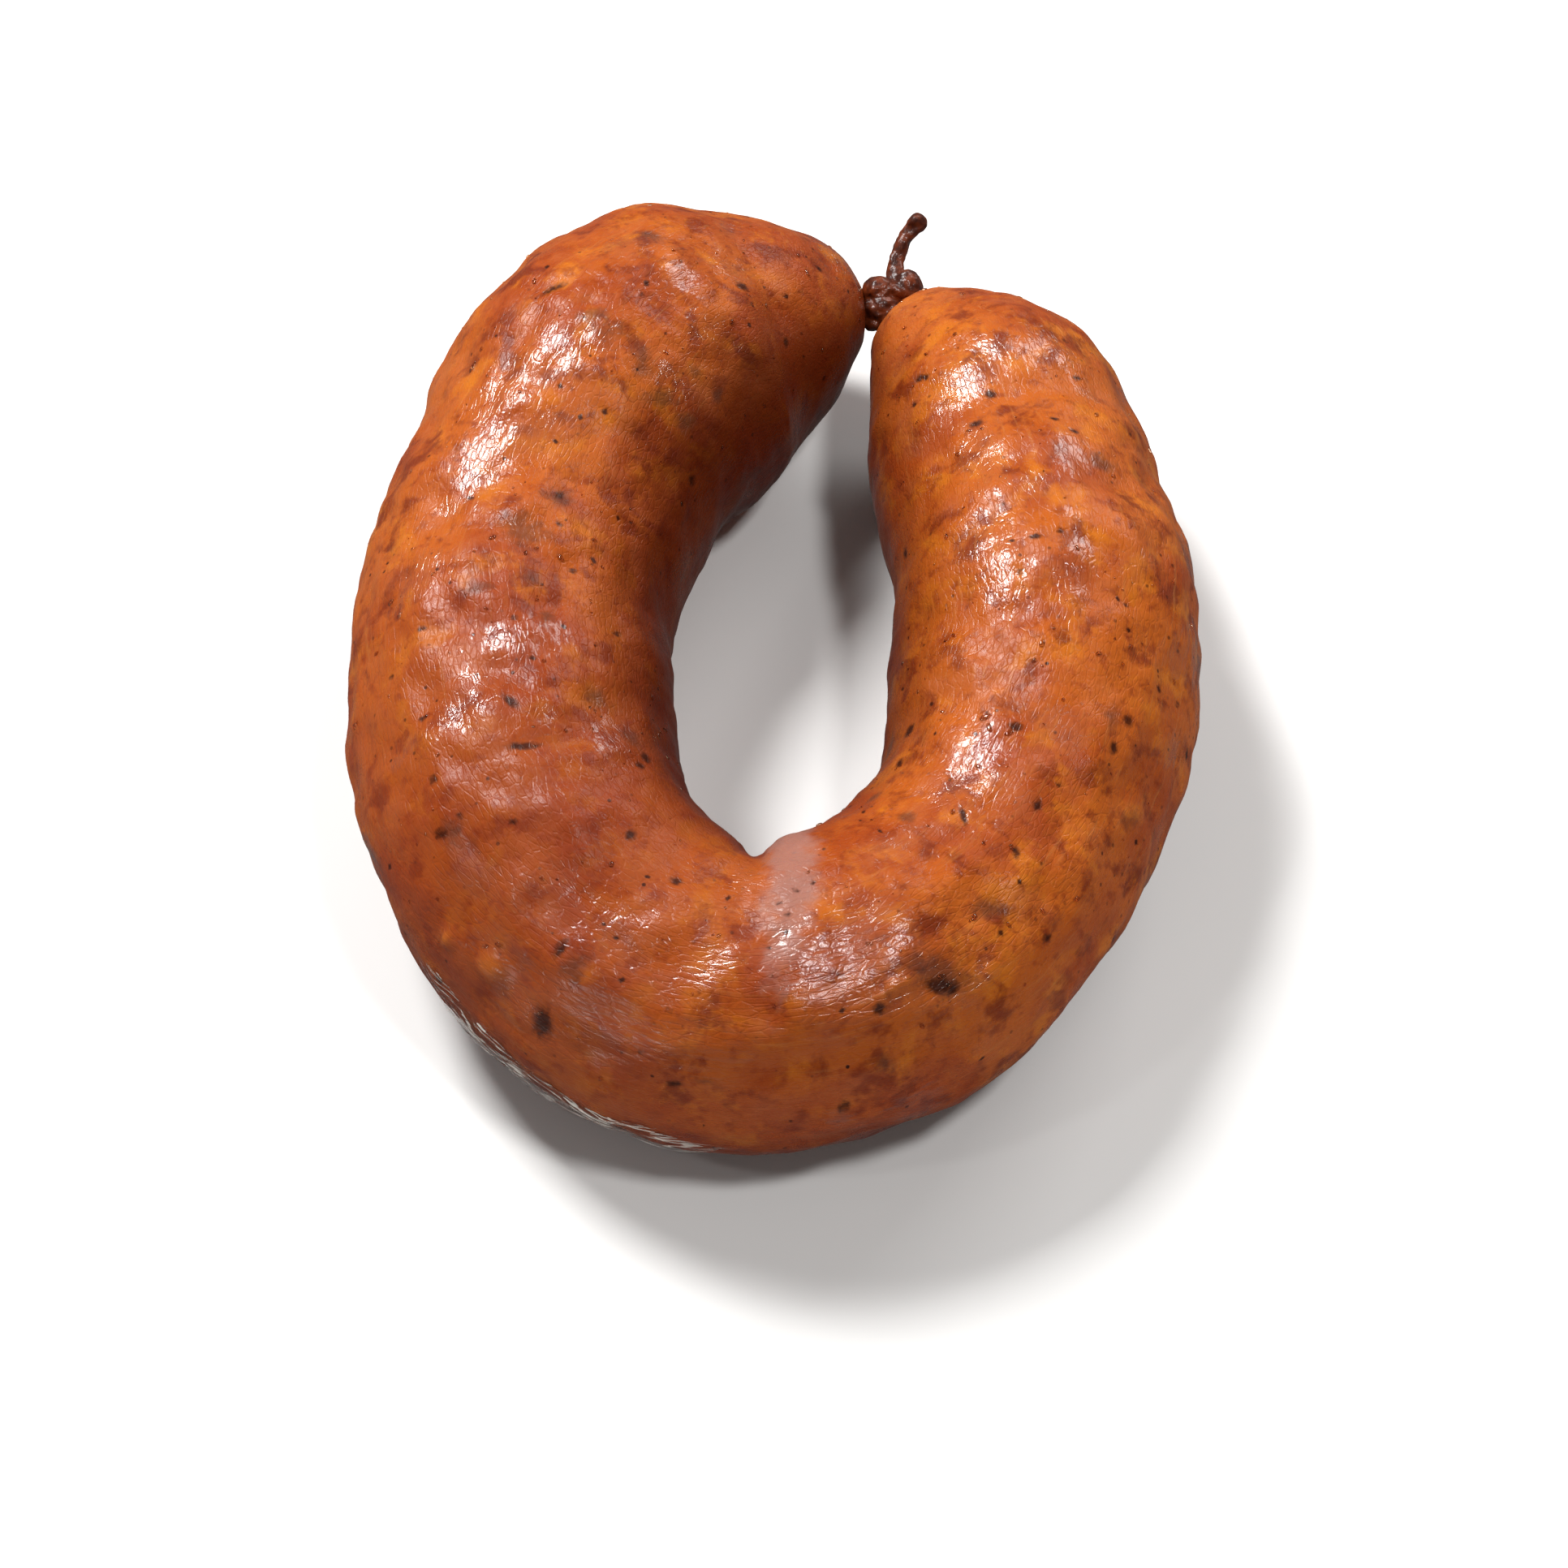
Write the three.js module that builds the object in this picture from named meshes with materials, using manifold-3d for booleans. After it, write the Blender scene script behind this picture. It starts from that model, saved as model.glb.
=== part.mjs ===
// A grilled ring sausage: meat in one natural casing, bent into a horseshoe and tied shut
// where its two ends meet, with a short tail of dried casing left on the knot.
// Millimetres, +Z up. The sausage lies flat, with the bend of the horseshoe towards -Y.

import * as THREE from 'three';
import { mergeVertices } from 'three/addons/utils/BufferGeometryUtils.js';
import Module from 'manifold-3d';

// Middle of the meat seen from above, and the radius of the casing there, from the left end
// round the bend to the right end. A casing of this kind fills to 40 to 48 mm across.
const STATIONS = [
  { x: 11.8, y: 88.2, radius: 4.4 },
  { x: 7.2, y: 86.8, radius: 9.6 },
  { x: 0.2, y: 83.2, radius: 16 },
  { x: -12, y: 77.2, radius: 22.2 },
  { x: -25.5, y: 62.5, radius: 23.8 },
  { x: -34.5, y: 39, radius: 22 },
  { x: -38, y: 15, radius: 22.2 },
  { x: -32.5, y: -11, radius: 21.6 },
  { x: -18, y: -28, radius: 20.3 },
  { x: -2, y: -33, radius: 20.2 },
  { x: 14.5, y: -26.5, radius: 20 },
  { x: 27, y: -12.5, radius: 19.5 },
  { x: 34.5, y: 5, radius: 20.6 },
  { x: 36.5, y: 26, radius: 21.4 },
  { x: 33, y: 50, radius: 20 },
  { x: 29.5, y: 66, radius: 18.5 },
  { x: 23.5, y: 75.5, radius: 13 },
  { x: 17.5, y: 84.5, radius: 5 },
];
const FRAME_SHIFT = new THREE.Vector3(1, -23.69, 0); // brings the origin under the middle of the whole
const RINGS = 92; // sections along the meat
const SIDES = 36; // facets around the casing
const DIRECTION_SPAN = 0.025; // share of the length each way that sets a section's direction
const SETTLED = 0.8; // how far the soft underside is pressed flat
const END_HEIGHT = 19; // lowest height of the middle line, which the tapered ends keep

// Waves along and around the casing, because hand-packed meat is uneven
const LUMPS = [
  { height: 0.45, along: 5, around: 1, start: 0.4 },
  { height: 0.3, along: 8, around: -2, start: 2.1 },
  { height: 0.2, along: 13, around: 3, start: 4 },
];

// Crease where the inner side of the bend has buckled
const CREASE_PLACE = 0.527; // share of the way along the meat
const CREASE_HALF_WIDTH = 0.02; // share of the length
const CREASE_DEPTH = 1.6;
const CREASE_REACH = 1.5; // a higher power keeps the crease closer to the inner side

// Knot of twisted casing between the two ends
const KNOT_LOBES = [
  { x: 14.6, y: 87.6, z: 20.4, across: 2.5, away: 2.5, up: 2.6 },
  { x: 18.4, y: 88.6, z: 20.4, across: 2.6, away: 2.6, up: 2.6 },
  { x: 15.4, y: 85.4, z: 19, across: 3.2, away: 2.8, up: 2.8 },
];
const LOBE_SIDES = 14;
const LOBE_ROWS = 9;
const TAIL_PATH = [
  { x: 16.6, y: 88, z: 20.2 },
  { x: 16.8, y: 91.5, z: 21 },
  { x: 17.2, y: 93.8, z: 22 },
  { x: 18.6, y: 96.2, z: 23.5 },
  { x: 20.9, y: 98.6, z: 25.4 },
];
const TAIL_RADIUS = 1.2;
const TAIL_END_RADIUS = 1.4;
const TAIL_SIDES = 8;
const TAIL_STEPS = 12;

const CASING_COLOUR = 0xa5502a;
const CASING_ROUGHNESS = 0.35;

const wasm = await Module();
wasm.setup();

const point = ({ x, y, z }) => new THREE.Vector3(x, y, z);

// The middle line. Its third coordinate holds the radius, so one curve gives both.
const middleLine = new THREE.CatmullRomCurve3(
  STATIONS.map(({ x, y, radius }) => new THREE.Vector3(x, y, radius)),
  false,
  'catmullrom',
);
const largestRadius = Math.max(...STATIONS.map(({ radius }) => radius));

// Height of the lumps at a share of the length and an angle around the casing
function lumpHeight(share, angle) {
  return LUMPS.reduce(
    (sum, { height, along, around, start }) =>
      sum + height * Math.sin(2 * Math.PI * along * share + around * angle + start),
    0,
  );
}

// Depth of the crease. The inner side of the bend is where the cosine of the angle is -1.
function creaseDepth(share, angle) {
  const offset = (share - CREASE_PLACE) / CREASE_HALF_WIDTH;
  const innerSide = (1 - Math.cos(angle)) / 2;
  return CREASE_DEPTH * Math.exp(-offset * offset) * innerSide ** CREASE_REACH;
}

// Straight sausage turned on a lathe along Y, closed at both ends, then bent along the middle line
function makeMeat() {
  const profile = [];
  for (let ring = 0; ring <= RINGS; ring += 1) {
    const atAnEnd = ring === 0 || ring === RINGS;
    const radius = atAnEnd ? 0 : middleLine.getPointAt(ring / RINGS).z;
    profile.push(new THREE.Vector2(radius, ring));
  }
  const meat = new THREE.LatheGeometry(profile, SIDES);
  const places = meat.getAttribute('position');
  const vertex = new THREE.Vector3();
  for (let index = 0; index < places.count; index += 1) {
    vertex.fromBufferAttribute(places, index);
    bend(vertex);
    places.setXYZ(index, vertex.x, vertex.y, vertex.z);
  }
  return meat;
}

// Moves one point of the straight sausage to its place on the horseshoe
function bend(vertex) {
  const share = vertex.y / RINGS;
  const angle = Math.atan2(vertex.z, vertex.x);
  const flatRadius = Math.hypot(vertex.x, vertex.z);
  const { x, y, z: radius } = middleLine.getPointAt(share);
  const behind = middleLine.getPointAt(Math.max(share - DIRECTION_SPAN, 0));
  const ahead = middleLine.getPointAt(Math.min(share + DIRECTION_SPAN, 1));
  const outward = new THREE.Vector2(ahead.y - behind.y, behind.x - ahead.x).normalize();
  const swell = (lumpHeight(share, angle) - creaseDepth(share, angle)) * (flatRadius / largestRadius);
  const reach = (flatRadius + swell) * Math.cos(angle);
  const height = Math.max(radius - SETTLED, END_HEIGHT) + (flatRadius + swell) * Math.sin(angle);
  vertex.set(x + outward.x * reach, y + outward.y * reach, Math.max(height, 0));
}

function makeLobe({ x, y, z, across, away, up }) {
  const lobe = new THREE.SphereGeometry(1, LOBE_SIDES, LOBE_ROWS);
  lobe.scale(across, away, up);
  lobe.translate(x, y, z);
  return lobe;
}

function makeTail() {
  const section = new THREE.Shape();
  section.absarc(0, 0, TAIL_RADIUS, 0, 2 * Math.PI);
  return new THREE.ExtrudeGeometry(section, {
    steps: TAIL_STEPS,
    curveSegments: TAIL_SIDES / 2, // a full circle gets twice as many
    extrudePath: new THREE.CatmullRomCurve3(TAIL_PATH.map(point)),
  });
}

function makeTailEnd() {
  const end = TAIL_PATH[TAIL_PATH.length - 1];
  return makeLobe({ ...end, across: TAIL_END_RADIUS, away: TAIL_END_RADIUS, up: TAIL_END_RADIUS });
}

function toSolid(geometry) {
  geometry.deleteAttribute('normal');
  geometry.deleteAttribute('uv');
  const merged = mergeVertices(geometry);
  return new wasm.Manifold(new wasm.Mesh({
    numProp: 3,
    vertProperties: new Float32Array(merged.getAttribute('position').array),
    triVerts: new Uint32Array(merged.getIndex().array),
  }));
}

function toGeometry(solid) {
  const { vertProperties, triVerts } = solid.getMesh();
  const geometry = new THREE.BufferGeometry();
  geometry.setAttribute('position', new THREE.BufferAttribute(vertProperties, 3));
  geometry.setIndex(new THREE.BufferAttribute(triVerts, 1));
  geometry.computeVertexNormals();
  return geometry;
}

// Meat, knot and tail are one continuous casing, so they are joined into one solid
const pieces = [makeMeat(), ...KNOT_LOBES.map(makeLobe), makeTail(), makeTailEnd()];
const solid = pieces.map(toSolid).reduce((whole, piece) => whole.add(piece));
const geometry = toGeometry(solid);
geometry.translate(...FRAME_SHIFT.toArray());

const casing = new THREE.MeshStandardMaterial({
  color: CASING_COLOUR,
  roughness: CASING_ROUGHNESS,
  metalness: 0,
});
const sausage = new THREE.Mesh(geometry, casing);
sausage.name = 'sausage_ring';

const part = new THREE.Group();
part.add(sausage);

export default part;
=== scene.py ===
# %% [markdown]
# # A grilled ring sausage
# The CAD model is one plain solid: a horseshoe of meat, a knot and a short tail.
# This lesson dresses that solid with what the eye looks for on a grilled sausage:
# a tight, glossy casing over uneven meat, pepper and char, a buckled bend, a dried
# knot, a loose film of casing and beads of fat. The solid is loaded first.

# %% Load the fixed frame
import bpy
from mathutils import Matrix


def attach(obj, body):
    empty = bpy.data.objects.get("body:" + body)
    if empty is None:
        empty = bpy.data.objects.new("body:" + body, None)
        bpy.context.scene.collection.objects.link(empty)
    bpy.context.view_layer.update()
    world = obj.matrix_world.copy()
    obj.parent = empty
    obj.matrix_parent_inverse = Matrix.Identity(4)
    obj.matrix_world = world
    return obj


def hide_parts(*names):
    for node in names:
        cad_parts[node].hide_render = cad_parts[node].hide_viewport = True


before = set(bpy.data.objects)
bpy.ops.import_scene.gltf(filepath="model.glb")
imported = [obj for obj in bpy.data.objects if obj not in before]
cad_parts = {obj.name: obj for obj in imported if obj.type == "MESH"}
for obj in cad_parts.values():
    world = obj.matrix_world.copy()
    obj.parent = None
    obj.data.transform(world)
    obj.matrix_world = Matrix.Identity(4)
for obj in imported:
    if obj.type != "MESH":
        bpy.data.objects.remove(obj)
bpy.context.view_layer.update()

# %% [markdown]
# ## Units and the camera
# Everything on the object is thought of in millimetres, and Blender works in metres,
# so one factor turns one into the other. The picture is square, and a point in it is
# named by its pixel. From the camera's place and lens each pixel gives one straight
# ray, which is how a fleck seen in the picture later finds its place on the skin.

# %% Camera at the picture's angle
import bisect
import math
import random

import bmesh
import bpy
from mathutils import Matrix, Vector, noise
from mathutils.bvhtree import BVHTree
from mathutils.geometry import interpolate_bezier
from mathutils.kdtree import KDTree

MM = 0.001  # metres in a millimetre
FRAME_SHIFT = Vector((1, -23.69, 0))  # mm, from the spine's own origin to the middle of the whole

PICTURE_SIDE = 1932  # pixels
FOCAL_LENGTH = 4064  # pixels
SENSOR = 36  # mm
ELEVATION = math.radians(57)
CAMERA_DISTANCE = 447  # mm
AIM_HEIGHT = 20  # mm, about the middle of the meat
NEAREST_SEEN = 10  # mm

aim = (FRAME_SHIFT + Vector((0, 0, AIM_HEIGHT))) * MM
look = Vector((0, math.cos(ELEVATION), -math.sin(ELEVATION)))
picture_right = Vector((1, 0, 0))
picture_up = picture_right.cross(look)
eye = aim - look * CAMERA_DISTANCE * MM

lens = bpy.data.cameras.new("picture_camera")
lens.sensor_width = SENSOR
lens.lens = SENSOR * FOCAL_LENGTH / PICTURE_SIDE
lens.clip_start = NEAREST_SEEN * MM
camera = bpy.data.objects.new("picture_camera", lens)
camera.location = eye
camera.rotation_euler = (math.pi / 2 - ELEVATION, 0, 0)
bpy.context.collection.objects.link(camera)
bpy.context.scene.camera = camera
print("Camera at", [round(value / MM) for value in eye], "mm, lens", round(lens.lens, 1), "mm")

# %% [markdown]
# ## Light
# The sausage was shot on white under one large soft light, behind it and to the left:
# its reflections sit on the left of both arms, and the shadows fall to the lower
# right. An area light makes a soft-edged reflection of its own shape, so it is large.
# A smaller panel overhead lights the bend, a weak one at the back gives the right
# sides their faint sheen, a low strip at the front left draws glints along the loose
# film, and a small lamp at the left makes the wet skin below it sparkle. Standard
# colour keeps the white floor white and lets the wet spots burn out.

# %% Softbox, panels, strip and lamp
LIGHTS = (  # name, place in metres, size in metres, power in watts
    ("softbox", (-0.45, 0.50, 0.86), (0.28, 0.30), 14.0),
    ("back_panel", (0.50, 0.75, 0.60), (0.5, 0.3), 3.5),
    ("top_panel", (0.31, -0.20, 0.95), (0.14, 0.13), 3.5),
    ("low_strip", (-0.45, -0.56, 0.12), (0.3, 0.02), 0.35),
    ("small_lamp", (-0.60, -0.26, 0.83), (0.06, 0.06), 0.5),
)


def add_area_light(name, place, size, power):
    """A rectangular soft light that faces the aim point."""
    panel = bpy.data.lights.new(name, "AREA")
    panel.shape = "RECTANGLE"
    panel.size, panel.size_y = size
    panel.energy = power
    thing = bpy.data.objects.new(name, panel)
    thing.location = place
    thing.rotation_euler = (aim - Vector(place)).to_track_quat("-Z", "Y").to_euler()
    bpy.context.collection.objects.link(thing)


for light in LIGHTS:
    add_area_light(*light)
bpy.context.scene.view_settings.view_transform = "Standard"
print("Lights:", [light[0] for light in LIGHTS])

# %% [markdown]
# ## Helpers for materials and meshes
# A node tree is a list of nodes with numbers or links at their sockets, so one small
# function that adds a node with both is enough for every material here. Another turns
# hex colours, which are stored as the eye sees them, into amounts of light. The last
# one turns a finished bmesh into an object. It stays at the origin, unturned and
# unscaled, because the patterns below are measured from the origin in real sizes. The
# floor is the first piece made with them. It is kept out of glossy reflections, as a
# photographer flags a white table so that it doesn't fog the edges of a shiny thing.

# %% Node helper, object helper and the floor
FLOOR_DROP = 0.1  # mm, keeps the floor clear of the flat underside
FLOOR_HALF = 1.5  # metres
FLOOR_MOTTLE = 60  # mm
MIX_FACTOR, MIX_A, MIX_B = 0, 6, 7  # sockets of a Mix node that mixes colours
MIX_RESULT = 2
COLOURS = {"data_type": "RGBA"}  # makes a Mix node mix colours
SMOOTH = {"interpolation_type": "SMOOTHSTEP"}  # makes a Map Range node ease in and out


def hex_colour(text):
    """A linear colour from an sRGB hex value, by the curve of the sRGB standard."""
    channels = [int(text[place:place + 2], 16) / 255 for place in (0, 2, 4)]
    linear = [c / 12.92 if c <= 0.04045 else ((c + 0.055) / 1.055) ** 2.4 for c in channels]
    return (*linear, 1.0)


def add_node(tree, kind, inputs=None, **settings):
    """Adds one node. An input is linked where a socket is given and set where a value is."""
    node = tree.nodes.new(kind)
    for name, value in settings.items():
        setattr(node, name, value)
    for name, value in (inputs or {}).items():
        if isinstance(value, bpy.types.NodeSocket):
            tree.links.new(value, node.inputs[name])
        else:
            node.inputs[name].default_value = value
    return node


def new_material(name):
    """A node material with an empty tree."""
    material = bpy.data.materials.new(name)
    material.use_nodes = True
    material.node_tree.nodes.clear()
    return material, material.node_tree


def add_object(name, bm, material):
    """Turns a finished bmesh into a smooth object at the origin."""
    mesh = bpy.data.meshes.new(name)
    bm.to_mesh(mesh)
    bm.free()
    mesh.shade_smooth()
    mesh.materials.append(material)
    thing = bpy.data.objects.new(name, mesh)
    bpy.context.collection.objects.link(thing)
    print(name, "has", len(mesh.polygons), "faces")
    return thing


# Matt paper: no gloss, and a faint cloudiness in the white
paper, tree = new_material("matt_white_paper")
room = add_node(tree, "ShaderNodeTexCoord").outputs["Object"]
cloud = add_node(tree, "ShaderNodeTexNoise", {"Vector": room, "Scale": 1 / (FLOOR_MOTTLE * MM)})
white = add_node(
    tree, "ShaderNodeMix",
    {MIX_FACTOR: cloud.outputs["Fac"], MIX_A: hex_colour("f7f6f4"), MIX_B: hex_colour("f2f1ef")}, **COLOURS,
)
shader = add_node(
    tree, "ShaderNodeBsdfPrincipled",
    {"Base Color": white.outputs[MIX_RESULT], "Roughness": 0.9},
)
add_node(tree, "ShaderNodeOutputMaterial", {"Surface": shader.outputs["BSDF"]})

floor_bm = bmesh.new()
bmesh.ops.create_grid(floor_bm, x_segments=1, y_segments=1, size=FLOOR_HALF)
bmesh.ops.translate(floor_bm, verts=floor_bm.verts, vec=(0, 0, -FLOOR_DROP * MM))
floor = add_object("floor", floor_bm, paper)
floor.visible_glossy = False

# %% [markdown]
# ## A pale room
# The world fills the shadows, and behind the floor it is also the backdrop. As a light
# it has to be dim, or it would wash out the softbox, but as a backdrop it should be
# pale. The Light Path node tells which kind of ray asks, so the world can be both.

# %% World
FILL_STRENGTH = 0.13
BACKDROP_STRENGTH = 0.9

world = bpy.data.worlds.new("pale_room")
world.use_nodes = True
tree = world.node_tree
tree.nodes.clear()
asks = add_node(tree, "ShaderNodeLightPath").outputs["Is Camera Ray"]
room_strength = add_node(
    tree, "ShaderNodeMapRange", {"Value": asks, "To Min": FILL_STRENGTH, "To Max": BACKDROP_STRENGTH},
)
room_light = add_node(
    tree, "ShaderNodeBackground",
    {"Color": hex_colour("fbfaf8"), "Strength": room_strength.outputs["Result"]},
)
add_node(tree, "ShaderNodeOutputWorld", {"Surface": room_light.outputs["Background"]})
bpy.context.scene.world = world
print("World:", world.name)

# %% [markdown]
# ## The middle line of the meat
# A ring sausage is a straight tube that was bent before it was cooked. So the shape
# starts from the line down the middle of the meat, with the radius of the casing at
# each station, the same values that the CAD solid uses. A smooth curve through the
# stations is a chain of Bezier pieces whose handles follow the neighbouring stations.
# The radius travels along as the third coordinate, so one curve gives both.

# %% Stations, smooth curve and sections
STATIONS = (  # mm: x, y, radius, from the left end round the bend to the right end
    (11.8, 88.2, 4.4), (7.2, 86.8, 9.6), (0.2, 83.2, 16), (-12, 77.2, 22.2), (-25.5, 62.5, 23.8),
    (-34.5, 39, 22), (-38, 15, 22.2), (-32.5, -11, 21.6), (-18, -28, 20.3), (-2, -33, 20.2),
    (14.5, -26.5, 20), (27, -12.5, 19.5), (34.5, 5, 20.6), (36.5, 26, 21.4), (33, 50, 20),
    (29.5, 66, 18.5), (23.5, 75.5, 13), (17.5, 84.5, 5),
)
LARGEST_RADIUS = max(radius for x, y, radius in STATIONS)
CURVE_STEPS = 40  # between two stations
DIRECTION_SPAN = 0.025  # share of the length each way that sets a section's direction


def smooth_curve(points, steps):
    """Points of a smooth curve through the given points, with Catmull-Rom handles."""
    points = [Vector(point) for point in points]
    points = [2 * points[0] - points[1], *points, 2 * points[-1] - points[-2]]
    curve = []
    for before, start, end, after in zip(points, points[1:], points[2:], points[3:]):
        handles = (start, start + (end - before) / 6, end - (after - start) / 6, end)
        curve += interpolate_bezier(*handles, steps + 1)[:-1]
    return [*curve, points[-2]]


def running_length(curve):
    """Length of the curve up to each of its points."""
    lengths = [0.0]
    for start, end in zip(curve, curve[1:]):
        lengths.append(lengths[-1] + (end - start).length)
    return lengths


def point_along(curve, lengths, share):
    """Point at a share of the curve's length."""
    goal = min(max(share, 0), 1) * lengths[-1]
    index = min(max(bisect.bisect_right(lengths, goal), 1), len(curve) - 1)
    part = (goal - lengths[index - 1]) / (lengths[index] - lengths[index - 1])
    return curve[index - 1].lerp(curve[index], part)


middle_line = smooth_curve(STATIONS, CURVE_STEPS)
middle_lengths = running_length(middle_line)
MEAT_LENGTH = middle_lengths[-1]  # mm
print("Meat is", round(MEAT_LENGTH), "mm long round the bend")

# %% [markdown]
# ## The skin, rolled from a grid
# A flat grid rolled into a tube gives even quads that run along and around the meat,
# which is how real casing stretches and wrinkles. Each corner keeps where it lies on
# the straight sausage: its share of the length, its angle, and its place before the
# bend. The seam runs along the underside, and both ends draw in to one point. Merging
# the doubled corners closes the seam and the two poles.

# %% Roll the skin
SKIN_SECTIONS = 480
SKIN_SIDES = 204
SEAM_ANGLE = -math.pi / 2  # the underside
SETTLED = 0.8  # mm, how far the soft underside is pressed flat
END_HEIGHT = 19  # mm, lowest height of the middle line, which the tapered ends keep
END_ROUNDING = 4.5  # mm of length over which the very end closes
MERGE = 0.001  # mm


def section_at(share):
    """Middle, outward direction, radius and height of one section, in mm."""
    middle = point_along(middle_line, middle_lengths, share)
    behind = point_along(middle_line, middle_lengths, share - DIRECTION_SPAN)
    ahead = point_along(middle_line, middle_lengths, share + DIRECTION_SPAN)
    outward = Vector((ahead.y - behind.y, behind.x - ahead.x, 0)).normalized()
    from_end = min(share, 1 - share) * MEAT_LENGTH
    closing = max(1 - from_end / END_ROUNDING, 0)
    radius = middle.z * math.sqrt(1 - closing * closing)
    centre = Vector((middle.x, middle.y, max(middle.z - SETTLED, END_HEIGHT))) + FRAME_SHIFT
    return centre, outward, radius


def spoke(outward, angle):
    """Direction from the middle line to the casing."""
    return outward * math.cos(angle) + Vector((0, 0, math.sin(angle)))


def rolled_grid(steps, sides, place_at):
    """A grid one unit wide, rolled into a closed tube by place_at(share, angle), in mm."""
    bm = bmesh.new()
    along = bm.verts.layers.float.new("along")
    around = bm.verts.layers.float.new("around")
    bmesh.ops.create_grid(bm, x_segments=steps, y_segments=sides, size=0.5)
    for vert in bm.verts:
        vert[along] = round((vert.co.x + 0.5) * steps) / steps
        vert[around] = SEAM_ANGLE + math.tau * round((vert.co.y + 0.5) * sides) / sides
        vert.co = place_at(vert[along], vert[around]) * MM
    bmesh.ops.remove_doubles(bm, verts=bm.verts, dist=MERGE * MM)
    bmesh.ops.recalc_face_normals(bm, faces=bm.faces)
    return bm


sections = [section_at(index / SKIN_SECTIONS) for index in range(SKIN_SECTIONS + 1)]


def skin_point(share, angle, swell=0.0):
    """Place on the casing in mm, swollen outwards where the meat is lumpy."""
    centre, outward, radius = sections[round(share * SKIN_SECTIONS)]
    place = centre + spoke(outward, angle) * (radius + swell * radius / LARGEST_RADIUS)
    place.z = max(place.z, 0)
    return place


skin = rolled_grid(SKIN_SECTIONS, SKIN_SIDES, skin_point)
along = skin.verts.layers.float["along"]
around = skin.verts.layers.float["around"]
print("Skin rolled from", len(skin.faces), "faces")

# %% [markdown]
# ## Large shape: lumps and the buckled bend
# Meat packed by hand swells and narrows, and where the casing turns sharply its inner
# side has too much skin and buckles into a crease. Sine waves along and around the
# tube give the lumps, as they do in the solid. The crease is a bell-shaped dent with
# a finer groove beside it, where the skin folds under the pale patch.

# %% Lumps and crease
LUMPS = ((0.45, 5, 1, 0.4), (0.3, 8, -2, 2.1), (0.2, 13, 3, 4))  # mm high, along, around, start
CREASE_PLACE = 0.527  # share of the way along the meat
CREASE_HALF_WIDTH = 0.02  # share of the length
CREASE_DEPTH = 1.6  # mm
CREASE_REACH = 1.5  # a higher power keeps the crease closer to the inner side
PATCH_PLACE = 0.575  # share of the way along the meat, on the inner side
PATCH_REACH = math.radians(118)  # how far the pale patch runs up from the inner side
PATCH_HALF_WIDTH = 10.0  # mm at the inner side
PATCH_NARROWING = 0.72  # share of its width lost at the far end
PATCH_LEAN = -11.0  # mm, how far it leans to the left end on its way
GROOVE_DEPTH = 0.3  # mm
GROOVE_WIDTH = 0.12  # share of the patch's half width


def from_inner_side(angle):
    """Angle between a place on the casing and the inner side of the bend."""
    return abs((angle + math.tau / 4) % math.tau - 3 * math.pi / 2)


def lump_height(share, angle):
    """Height of the lumps in mm."""
    return sum(
        height * math.sin(math.tau * waves * share + turns * angle + start)
        for height, waves, turns, start in LUMPS
    )


def patch_across(share, angle):
    """Place across the pale patch: 0 on its middle line, 1 or -1 on its edges."""
    reach = min(from_inner_side(angle) / PATCH_REACH, 1)
    half_width = PATCH_HALF_WIDTH * (1 - PATCH_NARROWING * reach)
    middle = PATCH_PLACE * MEAT_LENGTH + PATCH_LEAN * reach
    return (share * MEAT_LENGTH - middle) / half_width


def crease_depth(share, angle):
    """Depth of the buckled crease in mm."""
    offset = (share - CREASE_PLACE) / CREASE_HALF_WIDTH
    inner = ((1 - math.cos(angle)) / 2) ** CREASE_REACH
    edge = (patch_across(share, angle) + 1) / GROOVE_WIDTH
    fading = max(1 - from_inner_side(angle) / PATCH_REACH, 0)
    return CREASE_DEPTH * math.exp(-offset ** 2) * inner + GROOVE_DEPTH * fading * math.exp(-edge ** 2)


for vert in skin.verts:
    swell = lump_height(vert[along], vert[around]) - crease_depth(vert[along], vert[around])
    vert.co = skin_point(vert[along], vert[around], swell) * MM
skin.normal_update()
print("Skin is", round(max(vert.co.z for vert in skin.verts) / MM, 1), "mm high")

# %% [markdown]
# ## From the picture to the skin
# A fleck that is seen in the picture belongs where its pixel's ray first meets the
# skin. A BVH tree answers such ray questions quickly. Each hit also gives the normal,
# and from it a small frame that lies on the skin: one direction to the right in the
# picture, one up. A mark's length, width and turn are measured in that frame.

# %% Ray casting and a frame on the skin
LEFT_LOBE = (700, 500)  # pixel in the middle of the left lobe

skin_tree = BVHTree.FromBMesh(skin)


def frame_on_skin(place, normal, turn):
    """Place on the skin with the directions of a mark's length and width."""
    right = (picture_right - normal * picture_right.dot(normal)).normalized()
    up = normal.cross(right)
    lengthwise = right * math.cos(turn) + up * math.sin(turn)
    return place, lengthwise, normal.cross(lengthwise), normal


def seen_at(pixel_x, pixel_y, turn_degrees):
    """The frame where a pixel of the picture meets the skin."""
    across = (pixel_x - PICTURE_SIDE / 2) / FOCAL_LENGTH
    upward = (PICTURE_SIDE / 2 - pixel_y) / FOCAL_LENGTH
    ray = (look + picture_right * across + picture_up * upward).normalized()
    place, normal, face, distance = skin_tree.ray_cast(eye, ray)
    return frame_on_skin(place, normal, math.radians(turn_degrees))


print("Middle of the left lobe:", [round(value / MM) for value in seen_at(*LEFT_LOBE, 0)[0]], "mm")
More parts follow.
